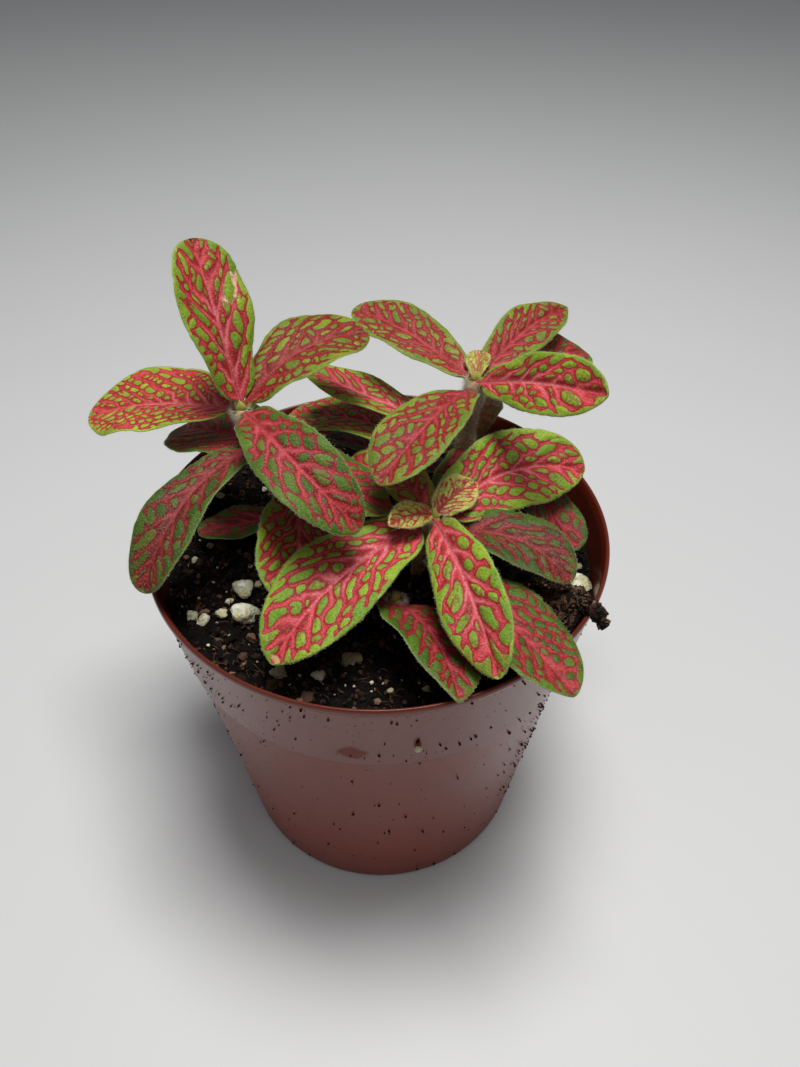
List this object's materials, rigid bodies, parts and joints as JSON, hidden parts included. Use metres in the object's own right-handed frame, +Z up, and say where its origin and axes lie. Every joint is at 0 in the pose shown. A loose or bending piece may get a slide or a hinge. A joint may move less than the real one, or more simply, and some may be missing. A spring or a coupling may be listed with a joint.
{
  "type": "potted nerve plant",
  "caption": "Potted nerve plant: leafy stems with pink-netted oval leaves in soil with white grains, in a round tapered nursery pot with a wider collar and drained foot.",
  "frame": {"origin": "centre of the pot's underside, on the surface that the pot stands on", "axes": "+Z up along the pot's axis; -Y towards the front, where the picture was taken from; +X to the right in the picture"},
  "size_m": [0.1213, 0.105, 0.1544],
  "materials": {
    "pot_plastic": "satin",
    "soil": "matte",
    "foliage": "satin"
  },
  "bodies": {
    "root": {"pot": "pot_plastic", "soil": "soil", "leafy_stem_left": "foliage", "leafy_stem_front": "foliage", "leafy_stem_back": "foliage", "leafy_stem_low": "foliage"}
  },
  "joints": []
}
